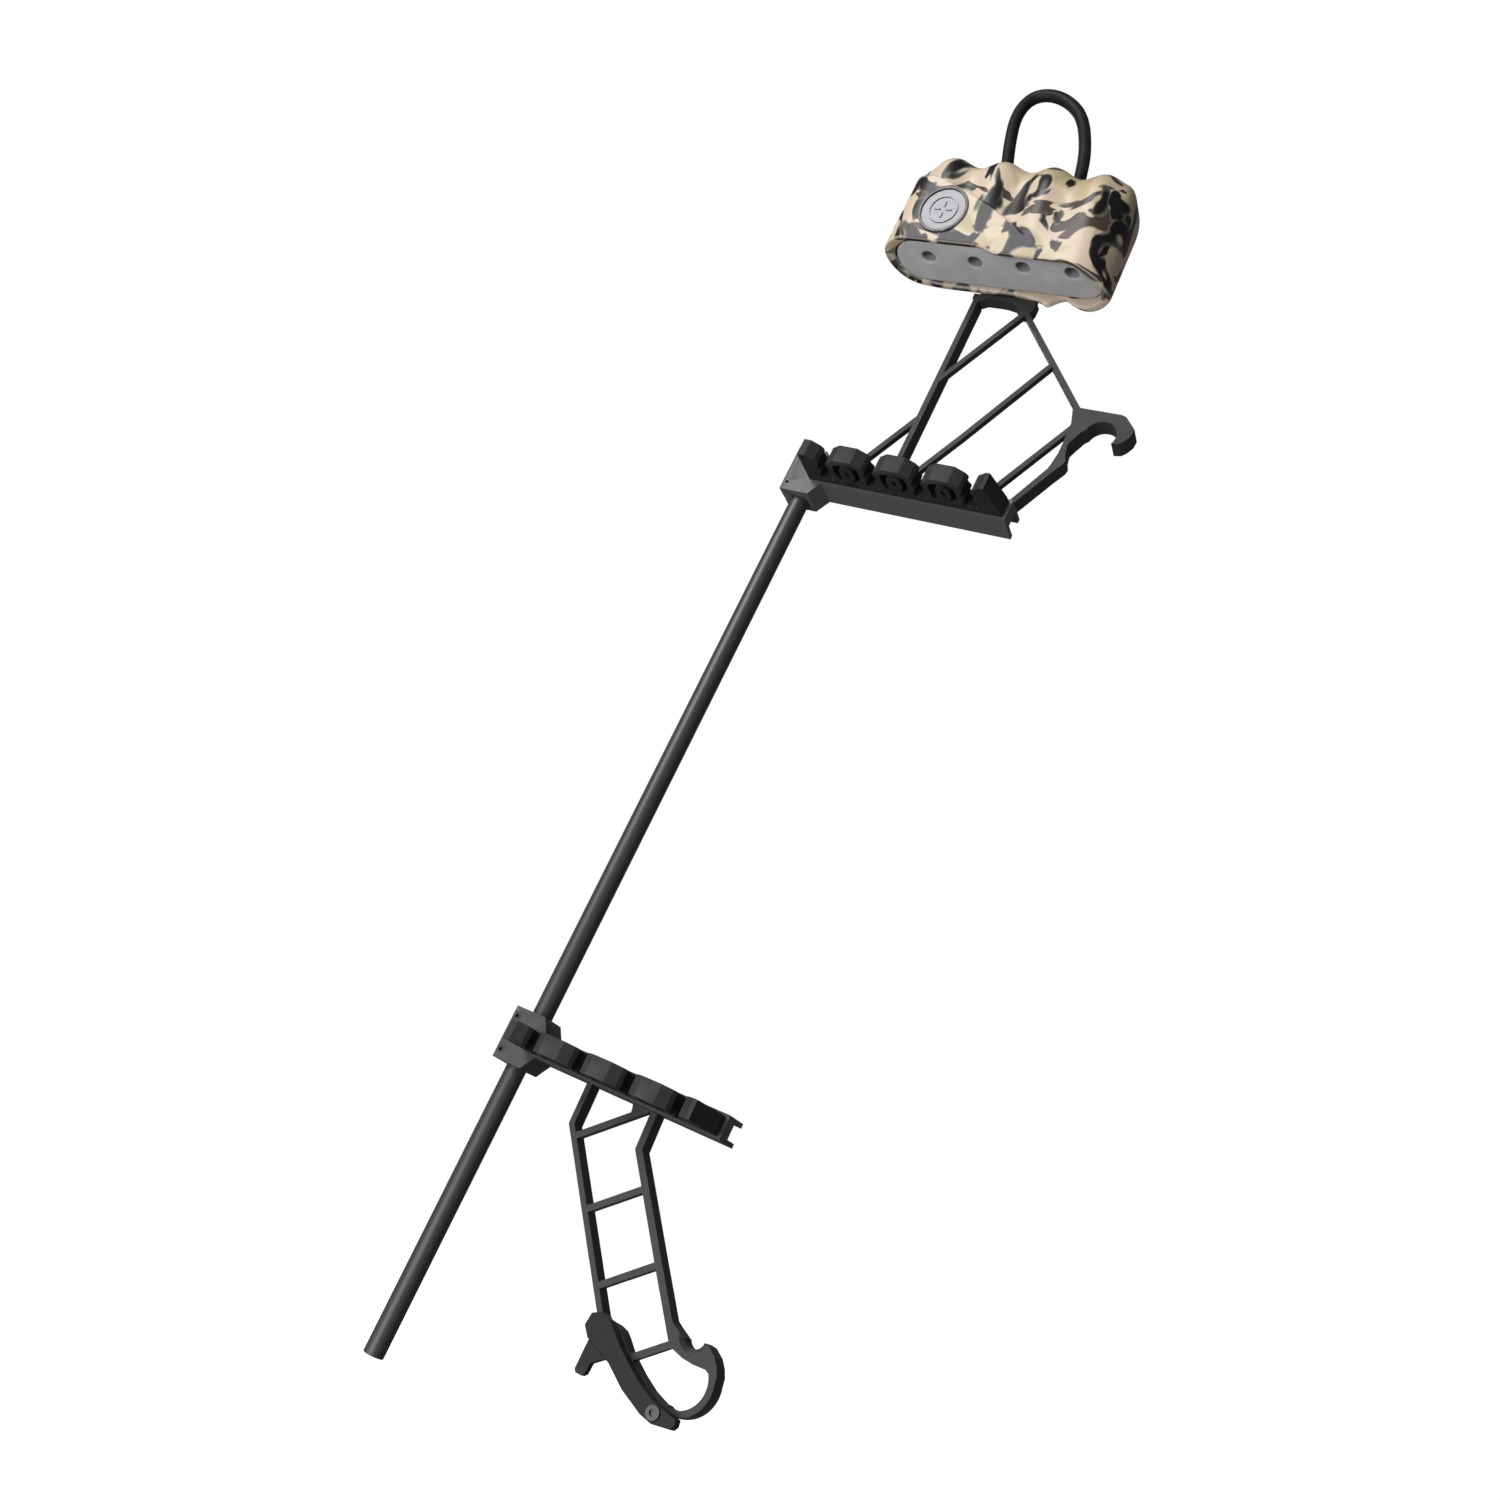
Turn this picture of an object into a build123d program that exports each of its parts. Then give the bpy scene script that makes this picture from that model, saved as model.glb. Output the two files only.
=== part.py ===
from build123d import *
import math
import os

# Detachable bow quiver for four arrows: a carbon rod carries two clamp brackets.
# The upper bracket has a truss with a hanging hook and the broadhead hood, the lower one a
# ladder with a D-shaped latch ring and a lock lever.
#
# The part is drawn in millimetres in the rod's frame: +Z up the rod towards the hood, +X along
# the arrow rests, -Y towards the arrows, zero on the rod's axis level with the lower bracket.
# Every piece is then moved so that the origin is the centre of the upper hook's saddle.

HOOK_X = 131.4
HOOK_Z = 362.0
HOOK_RADIUS = 7.6

# Rod
ROD_DIAMETER = 9.525
ROD_BORE = 7.6
ROD_BOTTOM = -147.6
UPPER_Z = 309.2
ROD_CLEARANCE = 0.04

# Clamp block and bar, the same on both brackets
BLOCK_LEFT = -9.1
BLOCK_RIGHT = 6.7
BLOCK_HALF_HEIGHT = 12.5
BLOCK_BACK = 7.4
FRONT = -8.5
BLOCK_CHAMFER = 2.0
BAR_RIGHT = 108.7
BAR_BACK = BLOCK_BACK
BAR_HALF_HEIGHT = 5.65
GUSSET_X = 11.2
SLIT_WIDTH = 0.8
ROD_CHAMFER = 0.3
CLAMP_SCREW_X = -6.8
CLAMP_SCREW_Z = 8.2
CLAMP_HEAD_RADIUS = 1.9
CLAMP_HEAD_DEPTH = 2.2
CLAMP_SHANK_RADIUS = 1.1
CLAMP_SCREW_TIP = 4.6
CHANNEL_LEFT = 13.2
CHANNEL_FRONT = -0.8
CHANNEL_HALF_HEIGHT = 3.5

# Arrow rests
PITCH = 25.4
FIRST_ARROW_X = 16.0
ARROWS = 4
ARROW_Y = -20.2
ARROW_POCKET_RADIUS = 3.3
RUBBER_HALF_HEIGHT = 4.5
TOOTH_FRONT = -29.2
RUBBER_LEFT = 4.4
RUBBER_RIGHT = 106.9
KEY_DEPTH = 2.5
KEY_HALF_HEIGHT = 2.2
KEY_FLARE = 0.5
KEY_LEFT = 12.2
KEY_RIGHT = 106.0

# Frames: flat webs that stand in the bars' rear channels, thicker round the bow's two studs
WEB_FRONT = CHANNEL_FRONT
WEB_BACK = BAR_BACK
STUD_BACK = 8.8
HEAD_BACK = 5.4
THIN_BACK = 2.4
MAIN_LEG = 2.8
OUTER_STRUT = 2.4
UPPER_BRACE = 2.6
INNER_RAIL = 2.6
OUTER_RAIL = 3.2
RUNG = 2.9
FOOT_LEFT = 14.0
FOOT_RIGHT = 101.0
UPPER_SCREWS_X = (24.0, 66.0, 98.0)
LOWER_SCREWS_X = (24.0, 56.0, 90.0)
FRAME_SCREW_RADIUS = 1.2
FRAME_HEAD_RADIUS = 2.3
FRAME_HEAD_DEPTH = 1.8
FRAME_SCREW_TIP = -5.0

# Hood: its front wall leans out towards the top
HOOD_LEFT = -9.2
HOOD_RIGHT = 112.6
HOOD_FRONT = -33.5
HOOD_BACK = 1.5
HOOD_RIM = 432.0
HOOD_TOP = 487.0
HOOD_TOP_FRONT = -41.0
HOOD_TAPER_LEFT = 2.2
HOOD_TAPER_RIGHT = 4.4
HOOD_CORNER = 16.0
HOOD_ROUND = 14.0
HOOD_LEAN = (HOOD_FRONT - HOOD_TOP_FRONT) / (HOOD_TOP - HOOD_RIM)
CAVITY_LEFT = -3.0
CAVITY_RIGHT = 108.0
CAVITY_FRONT = -31.0
CAVITY_BACK = -2.0
CAVITY_TOP = 483.5
CAVITY_CORNER = 13.5
CAVITY_ROUND = 12.0
FLUTE_RADIUS = 13.0
FLUTE_DEPTH = 2.4
FLUTE_LENGTH = 60.0
FOAM_FACE = 434.8
FOAM_TOP = 471.4
FOAM_HOLE_RADIUS = 3.5
FOAM_HOLE_DEPTH = 32.0
HOOD_SCREWS_X = (47.0, 63.0)
HOOD_SCREW_Z = 448.0
HOOD_SCREW_RADIUS = 1.5
HOOD_HEAD_RADIUS = 2.8
HOOD_HEAD_DEPTH = 1.8
NUT_RADIUS = 3.1
HOOD_NUT_FRONT = -4.4
HOOD_NUT_SLACK = 0.2
TAB_LEFT = 40.0
TAB_RIGHT = 70.0
TAB_TOP = 457.0
TAB_OVERLAP = 2.6
TAB_CORNER = 4.0
BADGE_X = 21.0
BADGE_Z = 451.0
BADGE_RADIUS = 12.8
BADGE_RIM = 1.5
BADGE_DEPTH = 1.2
BADGE_FACE = 0.2
BADGE_MARK_FACE = 0.7
BEZEL_FACE = 0.9

# Hanging loop: route of the rubber tube's centre line in the plane y = LOOP_Y
LOOP_DIAMETER = 6.35
LOOP_Y = -16.0
LOOP_ROUTE = [
    (37.5, 478), (32.6, 495), (26.3, 515), (22.5, 533), (26, 545), (36, 548), (48, 543.5), (59, 533.5),
    (68.2, 513), (72.2, 495), (75, 478)]
LOOP_HOLE_LENGTH = 20.0
STOPPER_RADIUS = 4.6
STOPPER_LENGTH = 5.0

# Lower frame's latch ring and the lock lever
RING_X = 133.0
RING_Z = -95.8
RING_OUTER = 14.7
RING_INNER = 11.9
SADDLE_X = 131.0
SADDLE_Z = -79.4
SADDLE_RADIUS = 4.6
SADDLE_FLARE = 1.8
PIVOT_X = 130.5
PIVOT_Z = -111.4
LEVER_FRONT = -6.0
LEVER_GAP = 0.3
PIVOT_RADIUS = 1.75
PIVOT_HEAD_RADIUS = 3.0
PIVOT_HEAD_DEPTH = 1.6
PIVOT_RECESS = 1.0
PIVOT_SLACK = 0.15
PIVOT_BOSS = 4.2
PIVOT_NUT_DEPTH = 2.2
LEVER_EDGE = 0.5
LEVER_TAB_SETBACK = 1.2

# Clearance between pieces that fit together, and the run-out of each cutting tool
EPS = 0.05
SCREW_END_GAP = 0.4
CUT = 1.0
SOCKET_SIZE = 0.5
SOCKET_DEPTH = 0.6


def at_y(back):
    """Plane whose local axes are +X and +Z, standing at y = back and facing -Y."""
    return Plane.XZ.offset(-back)


def web(sketch, front, back):
    """Sketch in (x, z) made into a plate from y = front to y = back."""
    return extrude(at_y(back) * sketch, amount=back - front)


def slab(sketch, bottom, top):
    """Sketch in (x, y) made into a plate from z = bottom to z = top."""
    return extrude(Plane.XY.offset(bottom) * sketch, amount=top - bottom)


def outline(*points):
    """Closed polygon."""
    return make_face(Polyline(*points, close=True))


def link(start, end, width):
    """Straight member between two points, with round ends."""
    run = Vector(*end) - Vector(*start)
    middle = (Vector(*start) + Vector(*end)) * 0.5
    angle = Vector(1, 0).get_signed_angle(run, Vector(0, 0, 1))
    return Location((middle.X, middle.Y), angle) * SlotCenterToCenter(run.length, width)


def run_of_links(points, width):
    """Chain of straight members through the points."""
    shape = link(points[0], points[1], width)
    for start, end in zip(points[1:], points[2:]):
        shape += link(start, end, width)
    return shape


def box(x0, x1, y0, y1, z0, z1):
    """Box between two corners."""
    return Pos((x0 + x1) / 2, (y0 + y1) / 2, (z0 + z1) / 2) * Box(x1 - x0, y1 - y0, z1 - z0)


def pin(x, z, radius, front, back):
    """Cylinder along Y."""
    return web(Pos(x, z) * Circle(radius), front, back)


def arrow_xs():
    """X of each arrow."""
    return [FIRST_ARROW_X + PITCH * i for i in range(ARROWS)]


def socket_screw(x, z, head_front, head_radius, head_depth, shank_radius, tip):
    """Socket-head screw along Y, with its head at the front."""
    head_back = head_front + head_depth
    screw = pin(x, z, head_radius, head_front, head_back)
    screw += pin(x, z, shank_radius, head_back, tip)
    socket = Pos(x, z) * RegularPolygon(head_radius * SOCKET_SIZE, 6)
    return screw - web(socket, head_front, head_front + head_depth * SOCKET_DEPTH)


def rear_screw(x, z, head_back, head_radius, head_depth, shank_radius, tip):
    """Socket-head screw along Y, with its head at the back."""
    head_front = head_back - head_depth
    screw = pin(x, z, head_radius, head_front, head_back)
    screw += pin(x, z, shank_radius, tip, head_front)
    socket = Pos(x, z) * RegularPolygon(head_radius * SOCKET_SIZE, 6)
    return screw - web(socket, head_back - head_depth * SOCKET_DEPTH, head_back)


# ---------------------------------------------------------------- rod

def make_rod():
    """Hollow carbon rod, from its cut lower end to the top of the upper clamp block."""
    top = UPPER_Z + BLOCK_HALF_HEIGHT
    ring = Circle(ROD_DIAMETER / 2) - Circle(ROD_BORE / 2)
    rod = slab(ring, ROD_BOTTOM, top)
    return chamfer(rod.edges().filter_by(GeomType.CIRCLE), ROD_CHAMFER)


# ---------------------------------------------------------------- clamp bars

def make_bar():
    """Clamp block and arrow bar in one piece, about z = 0, without the frame's notches."""
    face = outline(
        (BLOCK_LEFT, -BLOCK_HALF_HEIGHT), (BLOCK_RIGHT, -BLOCK_HALF_HEIGHT),
        (GUSSET_X, -BAR_HALF_HEIGHT), (GUSSET_X, BAR_HALF_HEIGHT),
        (BLOCK_RIGHT, BLOCK_HALF_HEIGHT), (BLOCK_LEFT, BLOCK_HALF_HEIGHT))
    block = web(face, FRONT, BLOCK_BACK)
    back_edges = block.edges().filter_by(Axis.Z).group_by(Axis.Y)[-1]
    block = chamfer(back_edges.sort_by(Axis.X)[0], BLOCK_CHAMFER)
    body = block + box(BLOCK_RIGHT, BAR_RIGHT, FRONT, BAR_BACK, -BAR_HALF_HEIGHT, BAR_HALF_HEIGHT)
    half = CHANNEL_HALF_HEIGHT
    body -= box(CHANNEL_LEFT, BAR_RIGHT, CHANNEL_FRONT, BAR_BACK + CUT, -half, half)
    body -= rubber_key(EPS)
    reach = BLOCK_HALF_HEIGHT + CUT
    body -= slab(Circle(ROD_DIAMETER / 2 + ROD_CLEARANCE), -reach, reach)
    body -= box(BLOCK_LEFT - CUT, 0, -SLIT_WIDTH / 2, SLIT_WIDTH / 2, -reach, reach)
    for z in (-CLAMP_SCREW_Z, CLAMP_SCREW_Z):
        shank_end = CLAMP_SCREW_TIP + SCREW_END_GAP
        body -= pin(CLAMP_SCREW_X, z, CLAMP_SHANK_RADIUS + EPS, FRONT - CUT, shank_end)
        body -= pin(CLAMP_SCREW_X, z, CLAMP_HEAD_RADIUS + EPS, FRONT - CUT, FRONT + CLAMP_HEAD_DEPTH)
    return body


def make_clamp_screws():
    """The two socket screws that close the clamp's slit."""
    return [
        socket_screw(CLAMP_SCREW_X, z, FRONT, CLAMP_HEAD_RADIUS, CLAMP_HEAD_DEPTH, CLAMP_SHANK_RADIUS,
                     CLAMP_SCREW_TIP)
        for z in (-CLAMP_SCREW_Z, CLAMP_SCREW_Z)]


def row_of_pins(xs, radius, front, back):
    """Cylinders along Y at each x, level with the bar's middle."""
    row = pin(xs[0], 0, radius, front, back)
    for x in xs[1:]:
        row += pin(x, 0, radius, front, back)
    return row


def frame_screw_holes(xs):
    """Holes for the screws that hold a frame in its bar's channel."""
    return row_of_pins(xs, FRAME_SCREW_RADIUS + EPS, FRAME_SCREW_TIP - SCREW_END_GAP, WEB_BACK + CUT)


def frame_screw_recesses(xs):
    """Counterbores in the frame's foot for the same screws."""
    return row_of_pins(xs, FRAME_HEAD_RADIUS + EPS, WEB_BACK - FRAME_HEAD_DEPTH, WEB_BACK + CUT)


def make_frame_screws(xs):
    """The screws themselves, with their heads at the back."""
    return [
        rear_screw(x, 0, WEB_BACK, FRAME_HEAD_RADIUS, FRAME_HEAD_DEPTH, FRAME_SCREW_RADIUS, FRAME_SCREW_TIP)
        for x in xs]


# ---------------------------------------------------------------- rubber arrow grippers

def rubber_key(clearance):
    """Dovetail rib behind the rubber strip, which snaps into the bar's front groove."""
    back = FRONT + KEY_DEPTH + clearance
    narrow = KEY_HALF_HEIGHT + clearance
    wide = narrow + KEY_FLARE
    section = outline((FRONT, -narrow), (back, -wide), (back, wide), (FRONT, narrow))
    left = KEY_LEFT - clearance
    return extrude(Plane.YZ.offset(left) * section, amount=KEY_RIGHT + clearance - left)


def arrow_slot(x):
    """Slot for one arrow: flared mouth, neck, round pocket and a relief behind it."""
    mouth = outline((x - 7.9, TOOTH_FRONT - 1), (x - 7.9, TOOTH_FRONT), (x - 3.4, -26), (x - 2.2, -24),
                    (x + 2.2, -24), (x + 3.4, -26), (x + 7.9, TOOTH_FRONT), (x + 7.9, TOOTH_FRONT - 1))
    neck = Pos(x, -19) * Rectangle(4.4, 11)
    pocket = Pos(x, ARROW_Y) * Circle(ARROW_POCKET_RADIUS)
    relief = Pos(x, -13.7) * RectangleRounded(7.0, 5.4, 2.0)
    return mouth + neck + pocket + relief


def tooth_hollows(x):
    """Two crescents and a small diamond through one tooth."""
    right = outline((x + 1.6, -25.8), (x + 6.2, -24.6), (x + 6.9, -21), (x + 6.6, -16), (x + 5.2, -13),
                    (x + 2.4, -13), (x + 4.0, -17), (x + 3.6, -21.5))
    left = outline((x - 1.6, -25.8), (x - 6.2, -24.6), (x - 6.9, -21), (x - 6.6, -16), (x - 5.2, -13),
                   (x - 2.4, -13), (x - 4.0, -17), (x - 3.6, -21.5))
    diamond = outline((x, -21.6), (x + 1.4, -19), (x, -16.4), (x - 1.4, -19))
    return right + left + diamond


def make_gripper():
    """Rubber strip with a slot for each arrow and hollow teeth between them, about z = 0."""
    strip = outline((RUBBER_LEFT, FRONT), (RUBBER_LEFT, TOOTH_FRONT), (101.9, TOOTH_FRONT),
                    (RUBBER_RIGHT, -12), (RUBBER_RIGHT, FRONT))
    for x in arrow_xs():
        strip -= arrow_slot(x)
    for left, right in zip(arrow_xs(), arrow_xs()[1:]):
        strip -= tooth_hollows((left + right) / 2)
    body = slab(strip, -RUBBER_HALF_HEIGHT, RUBBER_HALF_HEIGHT)
    return body + rubber_key(0)


# ---------------------------------------------------------------- upper frame

def make_foot():
    """Foot of a frame, which fills the bar's rear channel."""
    half = CHANNEL_HALF_HEIGHT
    return box(FOOT_LEFT, FOOT_RIGHT, WEB_FRONT, WEB_BACK, -half, half)


def hook_plate():
    """Hanging hook: a beaked plate with a round seat that opens downwards."""
    plate = outline(
        (113.4, 373.6), (116.4, 375.0), (137.4, 374.7), (139.8, 373.9), (142.6, 371.2), (145.9, 368.0),
        (145.6, 364.2), (143.6, 360.8), (141.6, 359.0), (138.2, 358.4), (131.4, 362), (124.0, 363.8),
        (122.3, 362.1), (119.7, 357.0), (118.0, 353.2), (116.0, 353.6), (115.6, 366))
    return plate - Pos(HOOK_X, HOOK_Z) * Circle(HOOK_RADIUS)


def gooseneck():
    """Lower outer leg, which kinks below the hook."""
    return outline(
        (116.0, 355), (115.9, 348.4), (114.9, 342.3), (114.2, 339.3), (98.0, UPPER_Z), (100.9, UPPER_Z),
        (116.6, 337.0), (120.3, 343.0), (120.8, 345.4), (119.4, 348.6), (118.4, 355))


def head_block():
    """Head under the hood's rim, where three members meet."""
    top = HOOD_RIM - EPS
    return outline(
        (38, top), (38, 429), (42.2, 427.6), (46.5, 429.8), (56.5, 429.2), (61.1, 428.3), (64.3, 425.8),
        (66.8, 423.7), (69.2, 423.2), (71.1, 424.6), (71.8, 427), (71.8, top))


def hood_tab():
    """Tab that stands up from the head behind the hood."""
    bottom = HOOD_RIM - TAB_OVERLAP
    plate = RectangleRounded(TAB_RIGHT - TAB_LEFT, TAB_TOP - bottom, TAB_CORNER)
    return Pos((TAB_LEFT + TAB_RIGHT) / 2, (bottom + TAB_TOP) / 2) * plate


def make_upper_frame():
    """Truss with the hanging hook, its foot in the upper bar and a tab up the hood's back."""
    deep = gooseneck() + run_of_links([(40.3, 428), (40.3, UPPER_Z)], MAIN_LEG)
    head = head_block() + run_of_links([(69.0, 424.4), (94.45, 397.1), (115.6, 374.4)], OUTER_STRUT)
    thin = run_of_links([(68.8, 424.7), (48.3, 390.7), (40.3, 377.5)], UPPER_BRACE)
    thin += run_of_links([(92.9, 395.0), (66.3, 348.4), (42.5, UPPER_Z)], UPPER_BRACE)
    thin += run_of_links([(40.3, 355.3), (24.9, 330.1), (14.5, UPPER_Z + 3)], UPPER_BRACE)
    thin += run_of_links([(116.5, 363.3), (95.1, 326.8), (85.0, UPPER_Z)], UPPER_BRACE)
    truss = web(hook_plate(), WEB_FRONT, STUD_BACK)
    truss += web(deep, WEB_FRONT, WEB_BACK)
    truss += web(head, WEB_FRONT, HEAD_BACK)
    truss += web(thin, WEB_FRONT, THIN_BACK)
    truss += Pos(0, 0, UPPER_Z) * make_foot()
    truss += web(hood_tab(), HOOD_BACK, HEAD_BACK)
    for x in HOOD_SCREWS_X:
        truss -= pin(x, HOOD_SCREW_Z, HOOD_SCREW_RADIUS + EPS, HOOD_BACK - CUT, HEAD_BACK + CUT)
    truss -= Pos(0, 0, UPPER_Z) * frame_screw_holes(UPPER_SCREWS_X)
    truss -= Pos(0, 0, UPPER_Z) * frame_screw_recesses(UPPER_SCREWS_X)
    return truss


# ---------------------------------------------------------------- lower frame

def latch_ring():
    """D-shaped ring with the saddle in its top edge."""
    top = outline((118.4, -77.2), (121, -78.6), (126.4, -81.2), (131, -82), (135.6, -79.6), (138.2, -79.8),
                  (142.4, -82.4), (145.0, -85.5), (146.6, -88.6), (147.2, -92), (144.4, -92.4),
                  (143.4, -89.4), (141, -88.4), (135.4, -88.9), (130, -88.6), (125.1, -87.4), (122.6, -87.4))
    ring = Pos(RING_X, RING_Z) * (Circle(RING_OUTER) - Circle(RING_INNER))
    right_half = Pos(RING_X + RING_OUTER, RING_Z - RING_OUTER) * Rectangle(2 * RING_OUTER, 3 * RING_OUTER)
    shape = top + (ring & right_half)
    return shape - Pos(SADDLE_X, SADDLE_Z) * Circle(SADDLE_RADIUS)


def saddle_flare():
    """Cone that opens the saddle's front edge."""
    wide = at_y(WEB_FRONT - EPS) * Pos(SADDLE_X, SADDLE_Z) * Circle(SADDLE_RADIUS + SADDLE_FLARE)
    narrow = at_y(WEB_FRONT + SADDLE_FLARE) * Pos(SADDLE_X, SADDLE_Z) * Circle(SADDLE_RADIUS)
    return loft([wide, narrow])


def latch_rail():
    """Curved rail behind the lever, from the ladder's inner rail to the pivot."""
    return outline(
        (88.4, -86.2), (92, -89), (97.2, -89.1), (100.5, -90), (102.9, -91.8), (107.2, -95.7),
        (111.2, -98.4), (116.3, -101.6), (123, -105), (127.6, -106.5), (133, -108), (133, -113.6),
        (118, -109.4), (106, -103.4), (96, -97.2), (90, -92.5))


def make_lower_frame():
    """Ladder with the latch ring, its foot in the lower bar."""
    deep = run_of_links([(37.5, 0), (38.2, -24.3), (72.9, -67.9), (90.4, -89.8)], INNER_RAIL)
    deep += run_of_links([(72.1, 0), (73.1, -22.3), (102.9, -59.6), (123.4, -84.9)], OUTER_RAIL)
    deep += latch_rail()
    stud = latch_ring() + Pos(PIVOT_X, PIVOT_Z) * Circle(PIVOT_BOSS)
    thin = run_of_links([(42.1, -28.8), (72.3, -2.7)], RUNG)
    thin += outline((60.5, -4), (62.0, -8.0), (62.5, -12), (71, -4))
    thin += run_of_links([(62.8, -53.9), (83.2, -36.2)], RUNG)
    thin += run_of_links([(83.0, -79.1), (103.2, -61.4)], RUNG)
    thin += run_of_links([(109.4, -98.2), (124, -85.3)], RUNG)
    ladder = web(stud, WEB_FRONT, STUD_BACK) - saddle_flare()
    ladder += web(deep, WEB_FRONT, WEB_BACK)
    ladder += web(thin, WEB_FRONT, THIN_BACK)
    ladder += make_foot()
    ladder -= pin(PIVOT_X, PIVOT_Z, PIVOT_RADIUS + EPS, WEB_FRONT - CUT, STUD_BACK + CUT)
    ladder -= frame_screw_holes(LOWER_SCREWS_X)
    ladder -= frame_screw_recesses(LOWER_SCREWS_X)
    return ladder


# ---------------------------------------------------------------- lock lever

def make_lever():
    """Lock lever with its thumb tab, in front of the ring's bottom rail."""
    blade = outline((91.8, -87.2), (97.4, -88.4), (105.7, -95.0), (112, -99.2), (120.8, -104.2),
                    (128.4, -107.2), (140.6, -109.4), (141.0, -112), (140.0, -113.8), (131.4, -115.4),
                    (125.5, -114.3), (114.2, -109.6), (104, -103.2), (97, -100.6), (91, -98.6),
                    (87.4, -94.6), (88.1, -89.2))
    tab = outline((91.4, -97), (91.2, -111.4), (92.2, -112.6), (95.0, -112.6), (96.2, -111.4),
                  (96.6, -106.6), (100.4, -103.4), (104, -102))
    back = WEB_FRONT - LEVER_GAP
    lever = web(blade, LEVER_FRONT, back)
    lever = fillet(lever.faces().sort_by(Axis.Y)[0].outer_wire().edges(), LEVER_EDGE)
    lever += web(tab, LEVER_FRONT + LEVER_TAB_SETBACK, back)
    lever -= pin(PIVOT_X, PIVOT_Z, PIVOT_RADIUS + EPS, LEVER_FRONT - CUT, back + CUT)
    recess = PIVOT_HEAD_RADIUS + PIVOT_SLACK
    return lever - pin(PIVOT_X, PIVOT_Z, recess, LEVER_FRONT - CUT, LEVER_FRONT + PIVOT_RECESS)


def make_pivot_screw():
    """Shoulder screw on which the lever turns."""
    head_front = LEVER_FRONT + PIVOT_RECESS - PIVOT_SLACK - PIVOT_HEAD_DEPTH
    return socket_screw(PIVOT_X, PIVOT_Z, head_front, PIVOT_HEAD_RADIUS, PIVOT_HEAD_DEPTH, PIVOT_RADIUS,
                        STUD_BACK + PIVOT_NUT_DEPTH)


def make_pivot_nut():
    """Hexagon nut behind the frame, on the pivot screw."""
    section = Pos(PIVOT_X, PIVOT_Z) * (RegularPolygon(NUT_RADIUS, 6) - Circle(PIVOT_RADIUS + EPS))
    return web(section, STUD_BACK, STUD_BACK + PIVOT_NUT_DEPTH)


# ---------------------------------------------------------------- hood

def plan(left, right, front, back, corner, z):
    """Rounded rectangle at height z."""
    shape = RectangleRounded(right - left, back - front, corner)
    return Pos((left + right) / 2, (front + back) / 2, z) * shape


def hood_outside():
    """Outer shape of the hood: a leaning block with a rounded top edge."""
    bottom = plan(HOOD_LEFT, HOOD_RIGHT, HOOD_FRONT, HOOD_BACK, HOOD_CORNER, HOOD_RIM)
    top = plan(HOOD_LEFT + HOOD_TAPER_LEFT, HOOD_RIGHT - HOOD_TAPER_RIGHT, HOOD_TOP_FRONT, HOOD_BACK,
               HOOD_CORNER, HOOD_TOP)
    block = loft([bottom, top])
    return fillet(block.faces().sort_by(Axis.Z)[-1].outer_wire().edges(), HOOD_ROUND)


def hood_cavity():
    """Space inside the hood, with upright walls and a rounded top edge."""
    section = plan(CAVITY_LEFT, CAVITY_RIGHT, CAVITY_FRONT, CAVITY_BACK, CAVITY_CORNER, 0)
    space = slab(section, HOOD_RIM - CUT, CAVITY_TOP)
    return fillet(space.faces().sort_by(Axis.Z)[-1].outer_wire().edges(), CAVITY_ROUND)


def hood_flutes():
    """Cutters for the three valleys between the four lobes, across the rounded top front edge."""
    inset = HOOD_ROUND * (1 - math.sqrt(0.5))
    standoff = (FLUTE_RADIUS - FLUTE_DEPTH) * math.sqrt(0.5)
    y = HOOD_TOP_FRONT + inset - standoff
    z = HOOD_TOP - inset + standoff
    valleys = [(left + right) / 2 for left, right in zip(arrow_xs(), arrow_xs()[1:])]
    return [Pos(x, y, z) * Rot(-45, 0, 0) * Cylinder(FLUTE_RADIUS, FLUTE_LENGTH) for x in valleys]


def on_hood_front():
    """Plane that lies on the hood's leaning front at the badge's centre and faces outwards."""
    y = HOOD_FRONT - (BADGE_Z - HOOD_RIM) * HOOD_LEAN
    return Plane(origin=(BADGE_X, y, BADGE_Z), x_dir=(1, 0, 0), z_dir=(0, -1, -HOOD_LEAN))


def badge_plate(sketch, inner, outer):
    """Sketch made into a plate on the hood's front, from depth inner to height outer."""
    return extrude(on_hood_front().offset(inner) * sketch, amount=outer - inner)


def make_hood_shell():
    """Moulded hood, open at the bottom, with the loop's two holes in its roof."""
    shell = hood_outside()
    for cutter in hood_flutes():
        shell -= cutter
    shell -= hood_cavity()
    for foot, up in loop_feet():
        hole = Plane(origin=foot, z_dir=up) * Circle(LOOP_DIAMETER / 2 + EPS)
        shell -= extrude(hole, amount=LOOP_HOLE_LENGTH)
    for x in HOOD_SCREWS_X:
        shell -= pin(x, HOOD_SCREW_Z, HOOD_SCREW_RADIUS + EPS, CAVITY_BACK - CUT, HOOD_BACK + CUT)
    return shell - badge_plate(Circle(BADGE_RADIUS + EPS), -BADGE_DEPTH, CUT)


def make_foam():
    """Foam block with a blind hole for each arrow's head and pockets for the hood's nuts."""
    section = plan(CAVITY_LEFT, CAVITY_RIGHT, CAVITY_FRONT, CAVITY_BACK, CAVITY_CORNER, 0)
    foam = slab(section, FOAM_FACE, FOAM_TOP)
    for x in arrow_xs():
        hole = Pos(x, ARROW_Y) * Circle(FOAM_HOLE_RADIUS)
        foam -= slab(hole, FOAM_FACE - CUT, FOAM_FACE + FOAM_HOLE_DEPTH)
    for x in HOOD_SCREWS_X:
        pocket_end = HOOD_NUT_FRONT - SCREW_END_GAP
        foam -= pin(x, HOOD_SCREW_Z, NUT_RADIUS + HOOD_NUT_SLACK, pocket_end, CAVITY_BACK + CUT)
    return foam


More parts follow.
